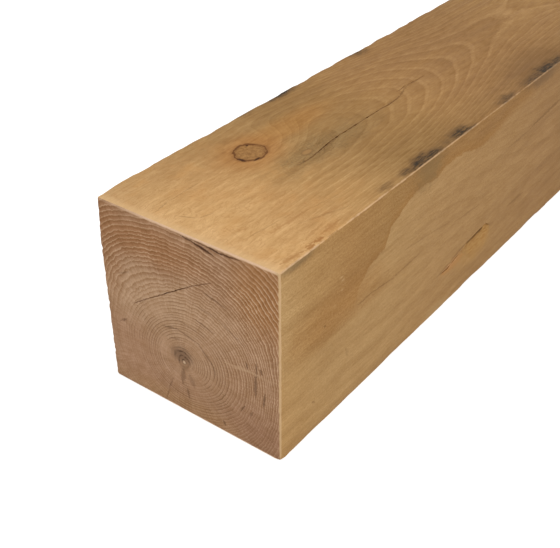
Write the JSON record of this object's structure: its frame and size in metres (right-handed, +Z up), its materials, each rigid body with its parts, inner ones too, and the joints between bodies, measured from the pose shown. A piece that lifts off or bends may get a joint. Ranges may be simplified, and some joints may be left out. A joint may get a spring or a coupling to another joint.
{
  "type": "oak post",
  "caption": "Square oak post with eased edges, drying checks and a bark pocket, for use as a post, beam or lintel.",
  "frame": {"origin": "under the middle of the post, on the surface that it lies on", "axes": "+Y along the post from its near end, the one with the pith showing low down, to its far end; +X across it to the side with the bark pocket; +Z up, to the side with the long surface check"},
  "size_m": [0.15, 1.8, 0.15],
  "materials": {
    "oak": "planed sides and sawn ends, unfinished, matt"
  },
  "bodies": {
    "root": {"post": "oak"}
  },
  "joints": []
}
